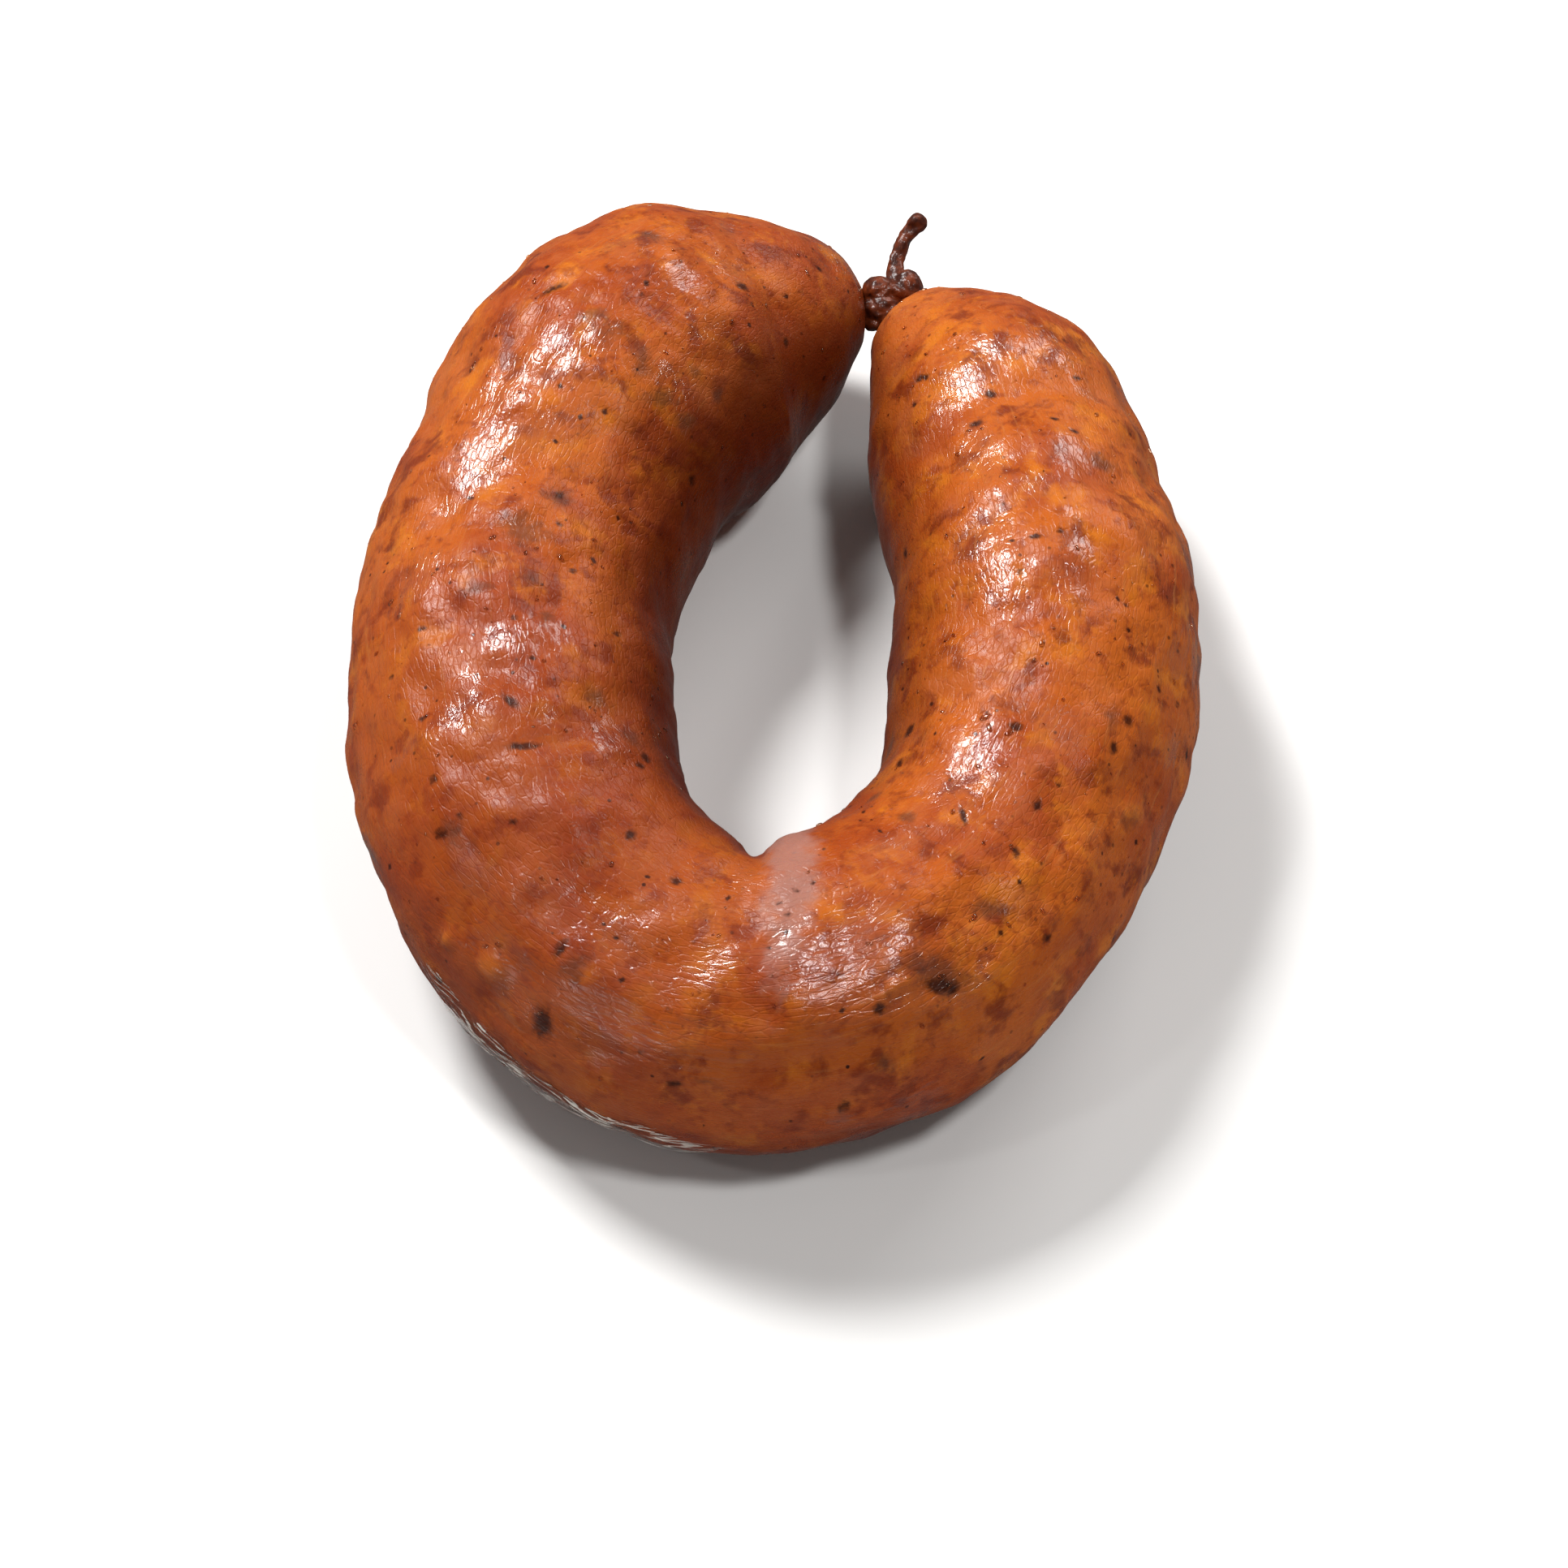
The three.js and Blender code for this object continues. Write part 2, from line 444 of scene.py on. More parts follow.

# %% [markdown]
# ## Flecks, char and smudges
# Pepper, herbs and burnt spots show dark through the thin casing. They could be cut
# into the mesh, but they are stains in the skin, so each corner of the skin only
# keeps how far it lies from the nearest mark: 0 in the middle, 1 on its edge. The
# material later draws the mark from that number, with an edge frayed by noise. Areas
# that shine with grease are kept in the same way. The marks that catch the eye are
# listed one by one.

# %% Marks listed one by one
FLECKS = (  # pixel x, pixel y, half length mm, half width mm, turn in degrees
    (682, 356, 2.2, 0.7, 21), (792, 362, 0.55, 0.5, 0), (675, 330, 0.5, 0.5, 0),
    (746, 507, 0.6, 0.5, 0), (690, 609, 0.9, 0.7, 60), (578, 611, 0.7, 0.5, -40),
    (689, 647, 0.6, 0.55, 0), (915, 353, 1.3, 0.9, 20), (854, 592, 0.9, 0.8, 0),
    (968, 365, 0.6, 0.5, 0), (1134, 467, 0.8, 0.6, 0), (1326, 467, 0.8, 0.55, 30),
    (1298, 519, 0.75, 0.5, 0), (1322, 533, 0.8, 0.5, 0), (1204, 525, 1.0, 0.7, 0),
    (1306, 653, 0.6, 0.5, 0), (1276, 662, 1.0, 0.55, 0), (1257, 704, 0.6, 0.5, 0),
    (1312, 420, 0.6, 0.5, 0), (1391, 743, 0.5, 0.5, 0), (707, 702, 0.7, 0.5, 0),
    (633, 762, 0.6, 0.5, 0), (521, 776, 0.7, 0.5, 0), (763, 779, 0.8, 0.5, 30),
    (481, 834, 0.6, 0.5, 0), (629, 864, 1.6, 0.65, -45), (517, 884, 0.8, 0.5, 0),
    (644, 918, 2.4, 0.6, 8), (795, 932, 0.7, 0.55, 0), (533, 960, 0.8, 0.7, 90),
    (542, 1027, 1.0, 0.8, 0), (565, 1005, 0.6, 0.5, 0), (633, 1013, 0.6, 0.5, 0),
    (777, 1029, 0.9, 0.7, 60), (833, 1086, 0.9, 0.7, -30), (693, 1169, 1.4, 0.75, 60),
    (667, 1262, 2.5, 1.5, 80), (831, 1336, 1.1, 0.6, 10), (791, 1297, 0.6, 0.5, 0),
    (825, 1245, 0.55, 0.5, 0), (1158, 1215, 2.5, 1.1, -8), (1251, 895, 1.1, 0.8, 0),
    (1187, 1005, 1.6, 0.45, -80), (1253, 1050, 0.9, 0.6, 90), (1289, 1155, 0.9, 0.6, 0),
    (1235, 1150, 0.9, 0.45, 0), (1389, 888, 1.0, 0.9, 0), (1430, 848, 0.7, 0.6, 0),
    (1455, 868, 0.7, 0.6, 0), (1306, 965, 0.55, 0.5, 0), (1040, 1365, 1.1, 0.8, 60),
    (1001, 1086, 0.5, 0.45, 0), (981, 1096, 0.55, 0.4, -20), (960, 1112, 0.45, 0.4, 0),
    (970, 1126, 0.5, 0.45, 0), (968, 1147, 0.45, 0.4, 0), (947, 1167, 0.45, 0.4, 0),
)
SMUDGES = (  # the same, for soft grey-brown patches under the casing
    (731, 388, 2.4, 1.2, 0), (794, 448, 3.0, 1.8, -60), (816, 486, 2.2, 1.6, 0),
    (845, 520, 1.7, 1.3, 0), (640, 648, 3.4, 2.0, -20), (690, 612, 2.4, 1.8, 0),
    (585, 727, 2.4, 1.3, 0), (734, 859, 2.0, 1.4, 0), (800, 290, 1.6, 1.2, 0),
    (1160, 1202, 4.5, 2.6, -8), (1221, 1120, 2.0, 1.5, 0), (1389, 1010, 1.4, 1.1, 0),
    (560, 1025, 2.4, 2.0, 0), (781, 912, 1.5, 1.4, 0), (917, 590, 2.0, 1.4, 0),
)
WET_PATCHES = (  # the same, for areas that shine with grease
    (690, 430, 6.0, 3.5, 35), (625, 480, 5.0, 3.5, 50), (600, 565, 6.0, 3.0, 70),
    (830, 345, 4.0, 2.5, 30), (1190, 470, 5.5, 3.5, 80), (1210, 560, 6.0, 3.0, -80),
    (1225, 690, 7.0, 3.0, -75), (1200, 950, 6.0, 3.0, 80), (515, 715, 4.5, 3.0, 60),
    (645, 785, 5.0, 2.5, 20), (560, 880, 4.0, 2.0, 30), (1040, 1195, 8.0, 6.0, 40),
    (1095, 1215, 6.0, 4.0, 0), (885, 1190, 3.0, 2.0, 60), (745, 1235, 3.0, 1.6, 0),
    (780, 300, 5.0, 3.0, 20), (900, 330, 4.0, 2.5, 0), (880, 420, 4.0, 3.0, -30),
    (960, 420, 4.0, 2.5, 40), (840, 470, 4.0, 2.0, -40), (1290, 430, 4.0, 2.5, -30),
    (1320, 560, 4.0, 2.0, 80), (1330, 700, 5.0, 2.0, 80), (1160, 1230, 3.0, 2.0, 0),
    (600, 1160, 3.0, 2.0, 0), (690, 1215, 3.0, 2.0, 0), (820, 1215, 3.0, 2.0, 0),
    (590, 1080, 5.0, 3.0, -40), (690, 1110, 5.0, 3.5, -30), (760, 1160, 5.0, 3.5, -30),
    (750, 1250, 6.0, 4.0, -30), (850, 1280, 5.0, 3.0, -20), (640, 1230, 4.0, 3.0, -50),
)
MARK_REACH = 2.5  # the field is filled this many half lengths out
FAR = 9.0  # the field's value away from every mark

finder = KDTree(len(skin.verts))
for index, vert in enumerate(skin.verts):
    finder.insert(vert.co, index)
finder.balance()
skin.verts.ensure_lookup_table()


def draw_field(name, marks):
    """Keeps each corner's scaled distance from the nearest mark in a layer of the skin."""
    layer = skin.verts.layers.float.new(name)
    for vert in skin.verts:
        vert[layer] = FAR
    for (place, lengthwise, widthwise, normal), half_length, half_width in marks:
        reach = MARK_REACH * half_length * MM
        for co, index, distance in finder.find_range(place, reach):
            offset = (co - place) / MM
            scaled = math.hypot(offset.dot(lengthwise) / half_length, offset.dot(widthwise) / half_width)
            scaled = max(scaled, offset.dot(normal) / half_length)
            vert = skin.verts[index]
            vert[layer] = min(vert[layer], scaled)
    return layer


def by_hand(marks):
    """Frames and sizes of the marks that are placed by pixel."""
    return [(seen_at(x, y, turn), length, width) for x, y, length, width, turn in marks]


print(len(FLECKS), "flecks,", len(SMUDGES), "smudges and", len(WET_PATCHES), "wet areas by hand")

# %% [markdown]
# ## The marks that nobody counts
# The sides and the back have flecks too, but no picture to take them from. A seeded
# scatter strews them over the whole skin and gives the same result at each run. Small
# marks are far more common than large ones, so the chance is raised to a power.

# %% Marks by scatter
FLECK_SEED = 11
SMALL_BIAS = 3  # a higher power makes more of them small
SLIMNESS = (0.5, 0.95)  # width of a mark as a share of its length
STREWN = {  # number, smallest and largest half length in mm
    "fleck": (150, 0.45, 1.2),
    "smudge": (46, 1.2, 3.0),
    "wet": (110, 1.5, 5.0),
}

chance = random.Random(FLECK_SEED)


def scattered(count, small, large):
    """Frames and sizes of marks strewn over the whole skin."""
    marks = []
    for vert in chance.sample(list(skin.verts), count):
        length = small + (large - small) * chance.random() ** SMALL_BIAS
        width = length * chance.uniform(*SLIMNESS)
        turn = chance.uniform(0, math.pi)
        marks.append((frame_on_skin(vert.co.copy(), vert.normal.copy(), turn), length, width))
    return marks


for name, placed in (("fleck", FLECKS), ("smudge", SMUDGES), ("wet", WET_PATCHES)):
    draw_field(name, by_hand(placed) + scattered(*STREWN[name]))
    print(name, "marks:", len(placed), "by hand and", STREWN[name][0], "strewn")

# %% [markdown]
# ## Fine shape: meat grain, wrinkles, pleats and blisters
# Light slides over the skin and breaks on its relief, so the relief has to be real.
# Coarse meat pushes out in soft pebbles of four sizes. The casing shrinks as it
# dries and wrinkles lengthwise, more in some places than others. At the ends it is
# gathered into pleats, and steam has lifted a few blisters. All of it is noise read
# on the straight sausage, so that the pattern bends with the meat.

# %% Relief of the skin
PEBBLES = ((12.0, 0.9), (6.0, 0.72), (3.0, 0.32), (1.6, 0.09))  # mm: size, height
WRINKLE_LENGTH = 14.0  # mm along
WRINKLE_WIDTH = 1.7  # mm around
WRINKLE_HEIGHT = 0.22  # mm
WRINKLE_PATCH = 17.0  # mm, size of the wrinkled areas
WRINKLE_COVER = 0.3  # a higher value wrinkles more of the skin
PLEATS = 15  # around each end
PLEAT_HEIGHT = 0.5  # mm
PLEAT_FADE = 7.0  # mm from the end
PLEAT_WANDER = 6.0  # mm, size of the bends in the pleats
PLEAT_STRAY = 0.5  # radians, how far the bends go
INNER_CALM = 0.55  # share of the relief lost on the inner side, where the skin is slack
FLECK_DENT = 0.12  # mm
BLISTERS = (  # pixel x, pixel y, half length mm, half width mm, turn in degrees
    (606, 1190, 2.6, 2.5, 0), (553, 1155, 1.6, 1.2, 60), (1100, 1215, 1.3, 1.1, 0),
    (1118, 1208, 0.9, 0.8, 0), (1085, 1228, 0.8, 0.8, 0),
)
BLISTER_HEIGHT = 0.8  # mm
BLISTER_SHOULDER = 0.7  # a lower power gives a steeper rim

blister = draw_field("blister", by_hand(BLISTERS))
fleck = skin.verts.layers.float["fleck"]
straight = skin.verts.layers.float_vector.new("straight")


def relief(share, angle, place):
    """Height of the grain, wrinkles and pleats in mm. Place is on the straight sausage."""
    height = sum(rise * noise.noise(place / size) for size, rise in PEBBLES)
    stretched = Vector((place.x / WRINKLE_LENGTH, place.y / WRINKLE_WIDTH, place.z / WRINKLE_WIDTH))
    patchy = max(WRINKLE_COVER + noise.noise(place / WRINKLE_PATCH), 0)
    height += patchy * WRINKLE_HEIGHT * noise.noise(stretched)
    height *= 1 - INNER_CALM * max(-math.cos(angle), 0)
    from_end = min(share, 1 - share) * MEAT_LENGTH
    wavering = angle + PLEAT_STRAY * noise.noise(place / PLEAT_WANDER)
    gathered = PLEAT_HEIGHT * math.exp(-from_end / PLEAT_FADE)
    return height + gathered * abs(math.sin(PLEATS * wavering / 2))


for vert in skin.verts:
    share, angle = vert[along], vert[around]
    radius = sections[round(share * SKIN_SECTIONS)][2]
    unbent = Vector((share * MEAT_LENGTH, radius * math.cos(angle), radius * math.sin(angle)))
    vert[straight] = unbent * MM
    swell = lump_height(share, angle) - crease_depth(share, angle)
    swell += relief(share, angle, unbent)
    swell -= FLECK_DENT * math.exp(-vert[fleck] ** 2)
    swell += BLISTER_HEIGHT * max(1 - vert[blister] ** 2, 0) ** BLISTER_SHOULDER
    vert.co = skin_point(share, angle, swell) * MM
skin.normal_update()
print("Relief added, skin is", round(max(vert.co.z for vert in skin.verts) / MM, 1), "mm high")

# %% [markdown]
# ## Where the skin is pale and where it is dark
# Three more numbers follow the shape of the bend. The buckled patch is bare of browning
# and shows a pale membrane, so its own scaled distance is kept. The inner wall of the
# ring and the underside get a painted shade of deep red-brown: that is read from the
# angle around the casing. And the lower left of the ring gets a painted shade of darker
# brown: that is read from the length.

# %% Pale patch and inner side
PATCH_SHARPNESS = 1.7  # a higher power squares the patch's far end
PATCH_FADE = 2.2  # how fast the patch fades below the inner side
RIGHT_ARM_SHADE = 0.7  # painted shade on the right arm's inner wall is weaker than on the left one's
SHADE_CHANGE = (0.48, 0.6)  # shares of the length between which the painted shade weakens
SHADE_RISE = 0.25  # how far the painted shade of the underside reaches up, as a sine
LOWER_LEFT_SHADE_PLACE = 0.44  # share of the length where the painted shade of the lower left is deepest
LOWER_LEFT_SHADE_SPREAD = 0.11  # share of the length

pale = skin.verts.layers.float.new("pale")
# the inner layer holds painted shade on the inner wall and the underside
inner = skin.verts.layers.float.new("inner")
lower_left_shade = skin.verts.layers.float.new("lower_left_shade")
for vert in skin.verts:
    reach = from_inner_side(vert[around]) / PATCH_REACH
    vert[pale] = math.hypot(patch_across(vert[along], vert[around]), reach ** PATCH_SHARPNESS)
    vert[pale] += PATCH_FADE * max(-math.sin(vert[around]), 0)
    # painted shade: weaker on the right arm, and reaching up the outer lower side to the edges
    change = (vert[along] - SHADE_CHANGE[0]) / (SHADE_CHANGE[1] - SHADE_CHANGE[0])
    shade_share = 1 + (RIGHT_ARM_SHADE - 1) * min(max(change, 0), 1)
    under_shade = max(SHADE_RISE - math.sin(vert[around]), 0)
    vert[inner] = shade_share * max(-math.cos(vert[around]), 0) ** 2 + under_shade
    # painted shade over the lower left, a bell along the length
    vert[lower_left_shade] = math.exp(-((vert[along] - LOWER_LEFT_SHADE_PLACE) / LOWER_LEFT_SHADE_SPREAD) ** 2)
print("Pale corners:", sum(vert[pale] < 1 for vert in skin.verts))

# %% [markdown]
# ## The grilled casing: meat under a clear skin
# Natural casing is a clear skin of collagen. Over a fire it turns to a glossy amber
# film, and the colour comes from the meat below it: orange where fat lies under the
# skin, red-brown over lean meat, milky pink where the film has lifted and gone dull.
# So the colour is built in layers, each one a noise of a real size, and each layer
# is mixed over the one before it.

# %% Lean meat, fat and browning
grilled, tree = new_material("grilled_natural_casing")
place = add_node(tree, "ShaderNodeTexCoord").outputs["Object"]
unbent = add_node(tree, "ShaderNodeAttribute", attribute_name="straight").outputs["Vector"]
MEAT_LAYERS = (  # feature size mm, octaves, distortion, noise where it starts and is full, strength, colour
    (19, 5, 0.3, 0.40, 0.62, 0.88, "963d14"),
    (6.5, 6, 0.2, 0.50, 0.68, 0.68, "c97018"),
    (5.0, 6, 0.2, 0.51, 0.67, 0.80, "6d240d"),
    (2.2, 4, 0.0, 0.52, 0.70, 0.55, "7c2c10"),
    (10, 6, 0.6, 0.50, 0.70, 0.45, "b05d30"),
)
colour = hex_colour("b3581a")
for number, (size, octaves, distortion, start, full, strength, tint) in enumerate(MEAT_LAYERS):
    moved = add_node(
        tree, "ShaderNodeVectorMath", {0: place, 1: (number, 0, 0)}, operation="ADD",
    )
    cloud = add_node(
        tree, "ShaderNodeTexNoise",
        {
            "Vector": moved.outputs["Vector"], "Scale": 1 / (size * MM), "Detail": octaves,
            "Roughness": 0.6, "Distortion": distortion,
        },
    )
    step = add_node(
        tree, "ShaderNodeMapRange",
        {"Value": cloud.outputs["Fac"], "From Min": start, "From Max": full, "To Max": strength}, **SMOOTH,
    )
    mixed = add_node(
        tree, "ShaderNodeMix",
        {MIX_FACTOR: step.outputs["Result"], MIX_A: colour, MIX_B: hex_colour(tint)}, **COLOURS,
    )
    colour = mixed.outputs[MIX_RESULT]
print("Meat colours use", len(tree.nodes), "nodes")

# %% [markdown]
# ## Streaks and painted shade
# Threads of pale fat run lengthwise under the casing, because the meat was pressed
# through a long nozzle. A noise drawn out along the straight sausage gives such
# threads. Over them lie two large darkenings that were kept on the skin, both painted
# shade: over the lower left, and on the inner wall and the underside.

# %% Streaks and the dark inner side
STREAK_LENGTH = 9  # mm
STREAK_WIDTH = 0.6  # mm
STREAK_STRENGTH = 0.2
STREAK_NOISE = (0.56, 0.76)  # noise where a streak starts and is full
LOWER_LEFT_SHADE_STRENGTH = 0.62
INNER_SHADE_STRENGTH = 0.85
INNER_SHADE_FIELD = (0.1, 0.9)  # kept value where the painted shade starts and is full


def drawn_out(length, width):
    """Scale of a pattern with features of this length and width in mm along the meat."""
    return (1 / (length * MM), 1 / (width * MM), 1 / (width * MM))


streak_place = add_node(
    tree, "ShaderNodeMapping", {"Vector": unbent, "Scale": drawn_out(STREAK_LENGTH, STREAK_WIDTH)},
)
streak = add_node(
    tree, "ShaderNodeTexNoise",
    {"Vector": streak_place.outputs["Vector"], "Scale": 1, "Detail": 3, "Roughness": 0.6},
)
streak_step = add_node(
    tree, "ShaderNodeMapRange",
    {
        "Value": streak.outputs["Fac"], "From Min": STREAK_NOISE[0], "From Max": STREAK_NOISE[1],
        "To Max": STREAK_STRENGTH,
    },
    **SMOOTH,
)
streaked = add_node(
    tree, "ShaderNodeMix",
    {MIX_FACTOR: streak_step.outputs["Result"], MIX_A: colour, MIX_B: hex_colour("cf8d4e")}, **COLOURS,
)
# painted shade on the inner wall and the underside, a deep red-brown
inner_shade_field = add_node(tree, "ShaderNodeAttribute", attribute_name="inner").outputs["Fac"]
inner_shade_step = add_node(
    tree, "ShaderNodeMapRange",
    {
        "Value": inner_shade_field, "From Min": INNER_SHADE_FIELD[0], "From Max": INNER_SHADE_FIELD[1],
        "To Max": INNER_SHADE_STRENGTH,
    },
    **SMOOTH,
)
# painted shade over the lower left: a darker brown mixed in
lower_left_shade_field = add_node(tree, "ShaderNodeAttribute", attribute_name="lower_left_shade").outputs["Fac"]
lower_left_shade_step = add_node(tree, "ShaderNodeMath", {0: lower_left_shade_field, 1: LOWER_LEFT_SHADE_STRENGTH}, operation="MULTIPLY")
lower_left_shaded = add_node(
    tree, "ShaderNodeMix",
    {
        MIX_FACTOR: lower_left_shade_step.outputs["Value"],
        MIX_A: streaked.outputs[MIX_RESULT], MIX_B: hex_colour("7a2c12"),
    },
    **COLOURS,
)
inner_shaded = add_node(
    tree, "ShaderNodeMix",
    {
        MIX_FACTOR: inner_shade_step.outputs["Result"],
        MIX_A: lower_left_shaded.outputs[MIX_RESULT], MIX_B: hex_colour("541b0a"),
    },
    **COLOURS,
)
print("Skin colours use", len(tree.nodes), "nodes")

# %% [markdown]
# ## Pepper, smudges, the pale patch and char
# The marks come last, over the colours. A cellular pattern gives the smallest grains
# of pepper: each cell holds one dot, and a second number of the same cell decides
# how strong it is. The larger marks use the distances kept on the skin, and a little
# noise is added to each distance, so no edge is a clean ellipse.

# %% Marks in the skin
PEPPER_SPACING = 3.0  # mm
PEPPER_RADIUS = 0.12  # share of the spacing
PEPPER_CORE = 0.5  # share of the radius with full colour
FINE_FRAY = 0.8  # mm, size of the ragged edge of a fleck
SOFT_FRAY = 3.0  # mm, size of the wandering edge of a patch
MARK_LAYERS = (  # kept distance, fray size, fray, distance of no colour and full colour, strength, colour
    ("smudge", SOFT_FRAY, 1.6, 1.5, 0.0, 0.6, "4b2d22"),
    ("pale", SOFT_FRAY, 0.6, 1.2, 0.5, 0.85, "9c6c5f"),
    ("blister", SOFT_FRAY, 0.4, 1.0, 0.2, 0.4, "c06a1c"),
    ("fleck", FINE_FRAY, 0.5, 1.4, 0.4, 0.94, "341106"),
)

pepper = add_node(
    tree, "ShaderNodeTexVoronoi",
    {"Vector": place, "Scale": 1 / (PEPPER_SPACING * MM), "Randomness": 1.0},
)
dot = add_node(
    tree, "ShaderNodeMapRange",
    {
        "Value": pepper.outputs["Distance"],
        "From Min": PEPPER_RADIUS, "From Max": PEPPER_RADIUS * PEPPER_CORE,
    },
    **SMOOTH,
)
dot_strength = add_node(
    tree, "ShaderNodeMath",
    {0: pepper.outputs["Color"], 1: dot.outputs["Result"]}, operation="MULTIPLY",
)
peppered = add_node(
    tree, "ShaderNodeMix",
    {
        MIX_FACTOR: dot_strength.outputs["Value"],
        MIX_A: inner_shaded.outputs[MIX_RESULT], MIX_B: hex_colour("2c0f08"),
    },
    **COLOURS,
)
colour = peppered.outputs[MIX_RESULT]
for name, size, fray, none, full, strength, tint in MARK_LAYERS:
    distance = add_node(tree, "ShaderNodeAttribute", attribute_name=name).outputs["Fac"]
    ragged = add_node(
        tree, "ShaderNodeTexNoise",
        {"Vector": place, "Scale": 1 / (size * MM), "Detail": 3, "Roughness": 0.6},
    )
    wander = add_node(
        tree, "ShaderNodeMapRange",
        {"Value": ragged.outputs["Fac"], "To Min": -fray, "To Max": fray},
    )
    frayed = add_node(
        tree, "ShaderNodeMath", {0: distance, 1: wander.outputs["Result"]}, operation="ADD",
    )
    step = add_node(
        tree, "ShaderNodeMapRange",
        {"Value": frayed.outputs["Value"], "From Min": none, "From Max": full, "To Max": strength}, **SMOOTH,
    )
    mixed = add_node(
        tree, "ShaderNodeMix",
        {MIX_FACTOR: step.outputs["Result"], MIX_A: colour, MIX_B: hex_colour(tint)}, **COLOURS,
    )
    colour = mixed.outputs[MIX_RESULT]
print("Marks drawn:", [layer[0] for layer in MARK_LAYERS])

# %% [markdown]
# ## Gloss and crackle of the casing
# In the highlights the skin shows what it is: not a smooth varnish but a film that
# crackles into small scales, drawn out lengthwise, over a grain of tiny fat bubbles.
# These are too small for the mesh, so bump nodes add them, each with its real height.
# Dry areas are dull, so the roughness wanders. A clear coat lies where the skin is
# wet: the distance kept from each wet area sets its strength, frayed by the crinkles,
# and it fades on the inner wall and the underside, where shade is painted.

# %% Bump, roughness and the shader
SCALE_LENGTH = 1.7  # mm, of the crackled film's scales
SCALE_WIDTH = 0.8  # mm
SCALE_GAP = 0.14  # share of a scale that slopes into the gap
SCALE_HEIGHT = 0.03  # mm
CRINKLE_LENGTH = 2.8  # mm
CRINKLE_WIDTH = 0.8  # mm, a little coarser than life, so that it shows
CRINKLE_HEIGHT = 0.06  # mm
GRAIN_SIZE = 0.7  # mm
GRAIN_HEIGHT = 0.07  # mm
STREAK_HEIGHT = 0.05  # mm
GREASE_SIZE = 5.0  # mm
NOISE_SWING = (0.35, 0.65)  # the values that nearly all of a noise lies between
ROUGHNESS = (0.24, 0.46)  # of greasy and of dry skin
WET_FRAY = 0.8  # how ragged a wet area's edge is
WET_FIELD = (0.75, 1.3)  # distance where the coat is full and where it ends
WET_COAT = (1.0, 0.06)  # strength of the coat in and outside a wet area
DRY_FIELD = (0.1, 0.6)  # painted-shade value where the coat starts to go and where it has gone
DRY_COAT = 0.1  # share of the coat that is left there

scale_place = add_node(
    tree, "ShaderNodeMapping", {"Vector": unbent, "Scale": drawn_out(SCALE_LENGTH, SCALE_WIDTH)},
)
scale = add_node(
    tree, "ShaderNodeTexVoronoi",
    {"Vector": scale_place.outputs["Vector"], "Scale": 1, "Randomness": 1.0}, feature="DISTANCE_TO_EDGE",
)
scale_top = add_node(
    tree, "ShaderNodeMapRange",
    {"Value": scale.outputs["Distance"], "From Min": 0.0, "From Max": SCALE_GAP}, **SMOOTH,
)
crinkle_place = add_node(
    tree, "ShaderNodeMapping", {"Vector": unbent, "Scale": drawn_out(CRINKLE_LENGTH, CRINKLE_WIDTH)},
)
crinkle = add_node(
    tree, "ShaderNodeTexNoise",
    {
        "Vector": crinkle_place.outputs["Vector"], "Scale": 1, "Detail": 5, "Roughness": 0.6,
        "Distortion": 0.4,
    },
)
grain = add_node(
    tree, "ShaderNodeTexNoise",
    {"Vector": place, "Scale": 1 / (GRAIN_SIZE * MM), "Detail": 5, "Roughness": 0.62},
)
normal = None
for height, rise in (
    (grain.outputs["Fac"], GRAIN_HEIGHT),
    (streak.outputs["Fac"], STREAK_HEIGHT),
    (crinkle.outputs["Fac"], CRINKLE_HEIGHT),
    (scale_top.outputs["Result"], SCALE_HEIGHT),
):
    inputs = {"Height": height, "Distance": rise * MM, "Strength": 1.0}
    if normal:
        inputs["Normal"] = normal
    normal = add_node(tree, "ShaderNodeBump", inputs).outputs["Normal"]
grease = add_node(
    tree, "ShaderNodeTexNoise",
    {"Vector": place, "Scale": 1 / (GREASE_SIZE * MM), "Detail": 4, "Roughness": 0.6},
)
roughness = add_node(
    tree, "ShaderNodeMapRange",
    {
        "Value": grease.outputs["Fac"], "From Min": NOISE_SWING[0], "From Max": NOISE_SWING[1],
        "To Min": ROUGHNESS[0], "To Max": ROUGHNESS[1],
    },
)
wet_distance = add_node(tree, "ShaderNodeAttribute", attribute_name="wet").outputs["Fac"]
wet_edge = add_node(
    tree, "ShaderNodeMapRange",
    {
        "Value": crinkle.outputs["Fac"], "From Min": NOISE_SWING[0], "From Max": NOISE_SWING[1],
        "To Min": -WET_FRAY, "To Max": WET_FRAY,
    },
)
wet_frayed = add_node(
    tree, "ShaderNodeMath", {0: wet_distance, 1: wet_edge.outputs["Result"]}, operation="ADD",
)
wet_film = add_node(
    tree, "ShaderNodeMapRange",
    {
        "Value": wet_frayed.outputs["Value"], "From Min": WET_FIELD[0], "From Max": WET_FIELD[1],
        "To Min": WET_COAT[0], "To Max": WET_COAT[1],
    },
    **SMOOTH,
)
dry_inside = add_node(
    tree, "ShaderNodeMapRange",
    {
        "Value": inner_shade_field, "From Min": DRY_FIELD[0], "From Max": DRY_FIELD[1],
        "To Min": 1.0, "To Max": DRY_COAT,
    },
    **SMOOTH,
)
gloss = add_node(
    tree, "ShaderNodeMath",
    {0: wet_film.outputs["Result"], 1: dry_inside.outputs["Result"]}, operation="MULTIPLY",
)
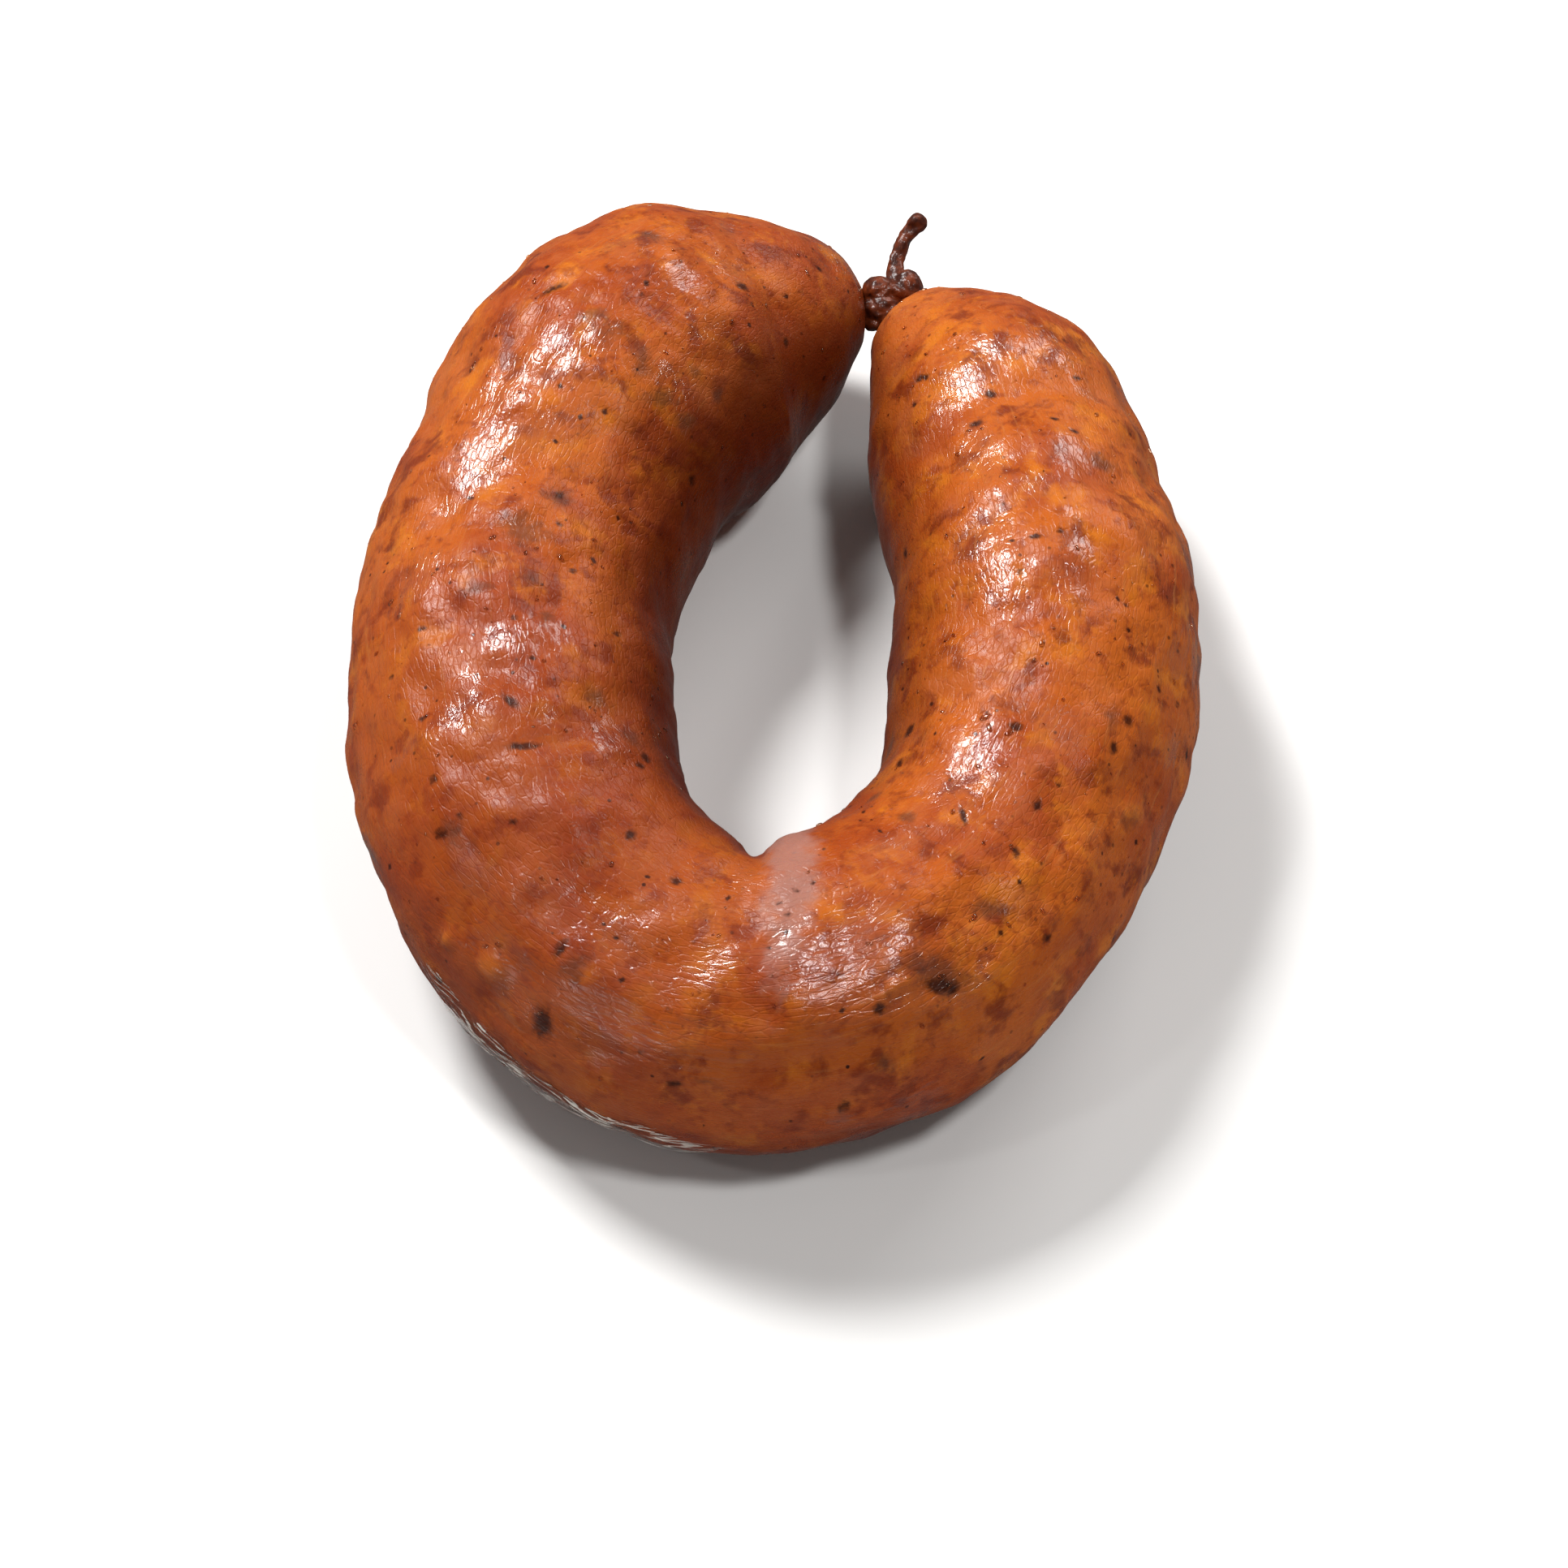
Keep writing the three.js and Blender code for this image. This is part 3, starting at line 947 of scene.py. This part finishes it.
shader = add_node(
    tree, "ShaderNodeBsdfPrincipled",
    {
        "Base Color": colour, "Roughness": roughness.outputs["Result"], "IOR": 1.45,
        "Specular IOR Level": 0.18,
        "Subsurface Weight": 0.1, "Subsurface Radius": (1.0, 0.35, 0.15), "Subsurface Scale": 1.2 * MM,
        "Coat Weight": gloss.outputs["Value"], "Coat Roughness": 0.09, "Coat IOR": 1.6,
        "Normal": normal, "Coat Normal": normal,
    },
)
add_node(tree, "ShaderNodeOutputMaterial", {"Surface": shader.outputs["BSDF"]})
casing_skin = add_object("casing_skin", skin, grilled)

# %% [markdown]
# ## The knot and its tail
# Both ends of the casing are twisted together, tied, and the stump is left to dry:
# round lobes of gathered skin, necks that run into the ends of the meat, and a thin
# curled tail with a bead at its tip. The tail is a grid rolled as the skin was, with
# ridges that wind around it, and each lobe is a ball that is stretched to its size.

# %% Lobes, necks and tail
KNOT_LOBES = (  # mm: x, y, z, across, away, up
    (14.2, 87.6, 20.4, 2.7, 2.4, 2.5), (18.4, 88.6, 20.4, 2.5, 2.5, 2.5), (14.6, 85.3, 19, 3.4, 2.6, 2.6),
    (13.5, 83.4, 18.3, 1.4, 1.3, 1.3), (16.6, 87.4, 21.2, 1.5, 1.4, 1.3),
)
LOBE_DETAIL = 4  # subdivisions of each ball
TAIL_PATH = (  # mm
    (16.6, 88, 20.2), (16.8, 91.5, 21), (17.2, 93.8, 22), (18.6, 96.2, 23.5), (20.9, 98.6, 25.4),
)
TAIL_RADIUS = 1.18  # mm
TAIL_BEAD = 0.3  # mm added at the tip
BEAD_PLACE, BEAD_SPREAD = 1.2, 1.1  # mm from the tip
TAIL_FLARE = 0.7  # mm added at the root
FLARE_FADE = 1.6  # mm from the root
TAIL_RIDGES = 3
RIDGE_RISE = 0.1  # share of the radius
TAIL_SWELL, TAIL_SWELL_SIZE = 0.18, 1.3  # mm, its uneven thickness
TAIL_ROUNDING = 1.2  # mm of length over which its two ends close
TAIL_SPAN = 0.04  # share of its length each way that sets its direction
TAIL_TWIST = 5.0  # radians from root to tip
TAIL_STEPS = 70
TAIL_SIDES = 24

tail_line = smooth_curve(TAIL_PATH, CURVE_STEPS)
tail_lengths = running_length(tail_line)
TAIL_LENGTH = tail_lengths[-1]


def tail_point(share, angle):
    """Place on the twisted tail in mm."""
    middle = point_along(tail_line, tail_lengths, share)
    ahead = point_along(tail_line, tail_lengths, share + TAIL_SPAN)
    ahead = ahead - point_along(tail_line, tail_lengths, share - TAIL_SPAN)
    side = ahead.cross(Vector((0, 0, 1))).normalized()
    upward = side.cross(ahead).normalized()
    from_tip = (1 - share) * TAIL_LENGTH
    radius = TAIL_RADIUS + TAIL_FLARE * math.exp(-share * TAIL_LENGTH / FLARE_FADE)
    radius += TAIL_BEAD * math.exp(-((from_tip - BEAD_PLACE) / BEAD_SPREAD) ** 2)
    radius *= 1 + RIDGE_RISE * math.cos(TAIL_RIDGES * (angle + TAIL_TWIST * share))
    radius += TAIL_SWELL * noise.noise(middle / TAIL_SWELL_SIZE)
    closing = max(1 - min(from_tip, share * TAIL_LENGTH) / TAIL_ROUNDING, 0)
    radius *= math.sqrt(max(1 - closing * closing, 0))
    return middle + FRAME_SHIFT + (side * math.cos(angle) + upward * math.sin(angle)) * radius


knot = rolled_grid(TAIL_STEPS, TAIL_SIDES, tail_point)
for x, y, z, *sizes in KNOT_LOBES:
    seat = Matrix.Translation((Vector((x, y, z)) + FRAME_SHIFT) * MM)
    seat = seat @ Matrix.Diagonal((*(Vector(sizes) * MM), 1))
    bmesh.ops.create_icosphere(knot, subdivisions=LOBE_DETAIL, radius=1, matrix=seat)
print("Tail is", round(TAIL_LENGTH, 1), "mm long, knot has", len(KNOT_LOBES), "lobes")

# %% [markdown]
# ## One skin for the knot
# Separate balls and tubes would look like beads on a stick. A voxel remesh fuses
# overlapping shapes into one closed skin, as the dried casing is. Smoothing takes the
# voxel steps away, and noise along the normals folds the skin as it shrank.

# %% Fuse and fold the knot
KNOT_VOXEL = 0.14  # mm
KNOT_SMOOTHING = 4  # rounds
KNOT_EASE = 0.5  # share of the way to the neighbours' middle in each round
KNOT_FOLDS = ((1.7, 0.34), (0.8, 0.14))  # mm: size, height

rough = add_object("rough_knot", knot, grilled)
remesh = rough.modifiers.new("fuse", "REMESH")
remesh.mode = "VOXEL"
remesh.voxel_size = KNOT_VOXEL * MM
fused = bpy.data.meshes.new_from_object(rough.evaluated_get(bpy.context.evaluated_depsgraph_get()))
bpy.data.objects.remove(rough)
knot = bmesh.new()
knot.from_mesh(fused)
for turn in range(KNOT_SMOOTHING):
    bmesh.ops.smooth_vert(
        knot, verts=knot.verts, factor=KNOT_EASE, use_axis_x=True, use_axis_y=True, use_axis_z=True,
    )
knot.normal_update()
for vert in knot.verts:
    spot = vert.co / MM
    vert.co += vert.normal * MM * sum(rise * noise.noise(spot / size) for size, rise in KNOT_FOLDS)
bmesh.ops.recalc_face_normals(knot, faces=knot.faces)
print("Knot fused into", len(knot.faces), "faces")

# %% [markdown]
# ## Dried casing on the knot
# Where the casing has no meat behind it, it dries to something like brown glue: dark,
# hard and shiny, a little lighter where it is stretched thin. A noise mixes the two
# browns, and a fine bump gives the wet-looking grain that sparkles in the light.

# %% Knot material
KNOT_MOTTLE = 1.8  # mm
KNOT_GRAIN = 0.4  # mm
KNOT_GRAIN_HEIGHT = 0.07  # mm
KNOT_NOISE = (0.38, 0.66)  # noise where the lighter brown starts and is full

dried, tree = new_material("dried_casing")
place = add_node(tree, "ShaderNodeTexCoord").outputs["Object"]
mottle = add_node(
    tree, "ShaderNodeTexNoise",
    {"Vector": place, "Scale": 1 / (KNOT_MOTTLE * MM), "Detail": 5, "Roughness": 0.6},
)
step = add_node(
    tree, "ShaderNodeMapRange",
    {"Value": mottle.outputs["Fac"], "From Min": KNOT_NOISE[0], "From Max": KNOT_NOISE[1]}, **SMOOTH,
)
two_browns = add_node(
    tree, "ShaderNodeMix",
    {MIX_FACTOR: step.outputs["Result"], MIX_A: hex_colour("3a1305"), MIX_B: hex_colour("6f2f11")},
    **COLOURS,
)
grain = add_node(
    tree, "ShaderNodeTexNoise",
    {"Vector": place, "Scale": 1 / (KNOT_GRAIN * MM), "Detail": 4, "Roughness": 0.6},
)
bump = add_node(
    tree, "ShaderNodeBump",
    {"Height": grain.outputs["Fac"], "Distance": KNOT_GRAIN_HEIGHT * MM, "Strength": 1.0},
)
shader = add_node(
    tree, "ShaderNodeBsdfPrincipled",
    {
        "Base Color": two_browns.outputs[MIX_RESULT], "Roughness": 0.4, "IOR": 1.48,
        "Specular IOR Level": 0.25,
        "Coat Weight": 0.35, "Coat Roughness": 0.06, "Normal": bump.outputs["Normal"],
        "Coat Normal": bump.outputs["Normal"],
    },
)
add_node(tree, "ShaderNodeOutputMaterial", {"Surface": shader.outputs["BSDF"]})
casing_knot = add_object("casing_knot", knot, dried)

# %% [markdown]
# ## The loose film
# Along the lower left of the ring the outer layer of the casing has come away. It is a
# thin, clear, crumpled film that clings to the skin along its upper edge and stands
# off below. A grid is laid over that stretch of the skin and lifted by a soft swell
# and by noise, and a Solidify modifier gives it its thickness.

# %% Film on the skin
FILM_START, FILM_END = 0.425, 0.532  # shares of the length
FILM_TOPS = (math.radians(5), math.radians(-14))  # angle of its upper edge at the start and the end
FILM_BOTTOM = math.radians(-38)
FILM_WANDER = math.radians(8)  # how far its edges stray
FILM_WANDER_LENGTH = 4.0  # mm
FILM_STEPS = 220
FILM_ROWS = 44
FILM_SEAT = 0.2  # mm, how deep its ends lie in the skin
FILM_GAP = 0.35  # mm
FILM_LIFT = 0.5  # mm
FILM_NARROW = 0.08  # share of its width at the two ends
FILM_TAPER = 0.6  # a lower power keeps it wide for longer
FILM_CRUMPLE = ((8.0, 1.6, 0.55), (4.0, 0.9, 0.35), (1.8, 0.6, 0.16))  # mm: length, width, height
FILM_THICKNESS = 0.06  # mm
FILM_SEED = 7  # noise vectors change from run to run unless they are seeded

noise.seed_set(FILM_SEED)
film = bmesh.new()
film_straight = film.verts.layers.float_vector.new("straight")
film_hold = film.verts.layers.float.new("hold")
bmesh.ops.create_grid(film, x_segments=FILM_STEPS, y_segments=FILM_ROWS, size=0.5)
for vert in film.verts:
    far_along, down = vert.co.x + 0.5, vert.co.y + 0.5
    taper = math.sin(math.pi * far_along) ** FILM_TAPER
    share = FILM_START + (FILM_END - FILM_START) * far_along
    spot = share * MEAT_LENGTH
    stray = noise.noise_vector(Vector((spot / FILM_WANDER_LENGTH, 0, 0)))
    top = FILM_TOPS[0] + (FILM_TOPS[1] - FILM_TOPS[0]) * far_along + FILM_WANDER * stray.x
    bottom = FILM_BOTTOM + FILM_WANDER * stray.y
    angle = top + (bottom - top) * down * (FILM_NARROW + (1 - FILM_NARROW) * taper)
    centre, outward, radius = section_at(share)
    crumple = sum(
        rise * noise.noise(Vector((spot / length, angle * radius / width, length)))
        for length, width, rise in FILM_CRUMPLE
    )
    lift = (FILM_GAP + FILM_LIFT * math.sin(math.pi * down) + crumple) * taper - FILM_SEAT
    unbent_place = Vector((spot, radius * math.cos(angle), radius * math.sin(angle)))
    swell = lump_height(share, angle) + relief(share, angle, unbent_place)
    reach = radius + swell * radius / LARGEST_RADIUS + lift
    vert.co = (centre + spoke(outward, angle) * reach) * MM
    vert[film_straight] = Vector((spot, angle * radius, 0)) * MM
    vert[film_hold] = math.sin(math.pi * far_along) * math.cos(math.pi / 2 * down)
bmesh.ops.recalc_face_normals(film, faces=film.faces)
print("Film runs", round((FILM_END - FILM_START) * MEAT_LENGTH), "mm along the meat")

# %% [markdown]
# ## Clear film with white creases and painted glints
# Dried casing is as clear as cling film, and where it creases it turns a little white.
# The fine white lines along the meat are partly that whitening and partly painted
# glints. A noise drawn out lengthwise crosses its middle value along such lines, so the
# distance from that value draws them. There the film is white and nearly solid, and
# between them it lets the meat show through. A number kept on the film thins it out
# towards its ends and its lower edge.

# %% Film material
FILM_CREASE_LENGTH = 7.0  # mm
FILM_CREASE_WIDTH = 0.9  # mm
FILM_CREASE_LINE = 0.022  # half width of a line, in steps of the noise
NOISE_MIDDLE = 0.5
FILM_CREASE_HEIGHT = 0.12  # mm
FILM_CLEAR, FILM_SOLID = 0.08, 0.9  # opacity between the creases and on them

loose, tree = new_material("loose_clear_casing")
unbent = add_node(tree, "ShaderNodeAttribute", attribute_name="straight").outputs["Vector"]
crease_place = add_node(
    tree, "ShaderNodeMapping",
    {"Vector": unbent, "Scale": (1 / (FILM_CREASE_LENGTH * MM), 1 / (FILM_CREASE_WIDTH * MM), 1)},
)
creases = add_node(
    tree, "ShaderNodeTexNoise",
    {
        "Vector": crease_place.outputs["Vector"], "Scale": 1, "Detail": 3, "Roughness": 0.55,
        "Distortion": 0.5,
    },
)
crease_glint_line = add_node(
    tree, "ShaderNodeMath",
    {0: creases.outputs["Fac"], 1: NOISE_MIDDLE, 2: FILM_CREASE_LINE}, operation="COMPARE",
)
body = add_node(
    tree, "ShaderNodeMapRange",
    {"Value": crease_glint_line.outputs["Value"], "To Min": FILM_CLEAR, "To Max": FILM_SOLID},
)
hold = add_node(tree, "ShaderNodeAttribute", attribute_name="hold").outputs["Fac"]
opacity = add_node(
    tree, "ShaderNodeMath", {0: body.outputs["Result"], 1: hold}, operation="MULTIPLY",
)
# white crease lines: partly the whitening of creased film, partly painted glints
tint = add_node(
    tree, "ShaderNodeMix",
    {MIX_FACTOR: crease_glint_line.outputs["Value"], MIX_A: hex_colour("7a4a30"), MIX_B: hex_colour("efe8de")},
    **COLOURS,
)
bump = add_node(
    tree, "ShaderNodeBump",
    {"Height": creases.outputs["Fac"], "Distance": FILM_CREASE_HEIGHT * MM, "Strength": 1.0},
)
shader = add_node(
    tree, "ShaderNodeBsdfPrincipled",
    {
        "Base Color": tint.outputs[MIX_RESULT], "Alpha": opacity.outputs["Value"], "Roughness": 0.12,
        "IOR": 1.5, "Specular IOR Level": 1.0, "Coat Weight": 1.0, "Coat Roughness": 0.06,
        "Normal": bump.outputs["Normal"],
    },
)
add_node(tree, "ShaderNodeOutputMaterial", {"Surface": shader.outputs["BSDF"]})
loose_film = add_object("loose_film", film, loose)
wall = loose_film.modifiers.new("thickness", "SOLIDIFY")
wall.thickness = FILM_THICKNESS * MM
wall.offset = 0

# %% [markdown]
# ## Beads of fat
# Hot fat comes through the casing and stands on it in tiny clear beads, which is why
# a grilled sausage glitters. Each bead is a flattened ball of few faces, sunk into the
# skin. A few longer runs are listed one by one where the picture shows wet gleams, and
# a seeded scatter puts the rest on the upper side, where the light finds them.

# %% Beads on the skin
WET_RUNS = (  # pixel x, pixel y, half length mm, half width mm, turn in degrees
    (580, 448, 1.1, 0.3, 50), (1215, 884, 0.9, 0.45, 10), (1219, 897, 0.8, 0.35, -75),
    (598, 1166, 0.6, 0.28, 10), (614, 1164, 0.6, 0.28, -10), (1243, 903, 0.7, 0.3, 20),
    (1160, 1203, 0.7, 0.3, 0), (1170, 1212, 0.5, 0.3, 40), (664, 1250, 0.5, 0.25, 0),
)
BEAD_SEED = 23
BEADS = 420
BEAD_RADIUS = (0.12, 0.38)  # mm
BEAD_FLATNESS = 0.45
BEAD_DETAIL = 2
BEAD_STRETCH = (1.0, 1.8)  # length over width
UPPER_SLOPE = 0.3  # the least upward part of a normal on the upper side
RAISED = 0.25  # height of a bead's middle above the skin, as a share of its own height

chance = random.Random(BEAD_SEED)
beads = bmesh.new()
casing_mesh = casing_skin.data
upper = [vert for vert in casing_mesh.vertices if vert.normal.z > UPPER_SLOPE]
spots = by_hand(WET_RUNS)
for vert in chance.sample(upper, BEADS):
    size = BEAD_RADIUS[0] + (BEAD_RADIUS[1] - BEAD_RADIUS[0]) * chance.random() ** SMALL_BIAS
    stretch = chance.uniform(*BEAD_STRETCH)
    turn = chance.uniform(0, math.pi)
    spots.append((frame_on_skin(vert.co.copy(), vert.normal.copy(), turn), size * stretch, size))
final_tree = BVHTree.FromPolygons(
    [vert.co for vert in casing_mesh.vertices], [face.vertices for face in casing_mesh.polygons],
)
for (place, lengthwise, widthwise, normal), half_length, half_width in spots:
    ground, slope, face, distance = final_tree.find_nearest(place)
    height = half_width * BEAD_FLATNESS
    axes = Matrix((lengthwise, widthwise, normal)).transposed().to_4x4()
    seat = Matrix.Translation(ground + normal * height * RAISED * MM) @ axes
    seat = seat @ Matrix.Diagonal((half_length * MM, half_width * MM, height * MM, 1))
    bmesh.ops.create_icosphere(beads, subdivisions=BEAD_DETAIL, radius=1, matrix=seat)
print(len(spots), "beads of fat")

# %% [markdown]
# ## Clear rendered fat
# Melted fat is a clear oil with a warm tint. Light goes through it and bends, so the
# shader transmits it, with the IOR of oil and a very smooth surface. A faint cloud in
# the colour keeps the beads from all looking alike.

# %% Bead material
BEAD_CLOUD = 0.5  # mm

fat, tree = new_material("clear_rendered_fat")
place = add_node(tree, "ShaderNodeTexCoord").outputs["Object"]
cloud = add_node(
    tree, "ShaderNodeTexNoise", {"Vector": place, "Scale": 1 / (BEAD_CLOUD * MM), "Detail": 2},
)
amber = add_node(
    tree, "ShaderNodeMix",
    {MIX_FACTOR: cloud.outputs["Fac"], MIX_A: hex_colour("f0c89a"), MIX_B: hex_colour("fbe6cc")}, **COLOURS,
)
shader = add_node(
    tree, "ShaderNodeBsdfPrincipled",
    {
        "Base Color": amber.outputs[MIX_RESULT], "Roughness": 0.04, "IOR": 1.46,
        "Transmission Weight": 1.0,
    },
)
add_node(tree, "ShaderNodeOutputMaterial", {"Surface": shader.outputs["BSDF"]})
fat_beads = add_object("fat_beads", beads, fat)

# %% [markdown]
# ## Join the pieces to the frame
# Every piece rides on the one body of the frame. Together they stand for the CAD
# solid, which is hidden.

# %% Riding and replacing
pieces = (casing_skin, casing_knot, loose_film, fat_beads)
for piece in pieces:
    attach(piece, "root")
    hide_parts("sausage_ring")
print("Pieces:", [piece.name for piece in pieces])
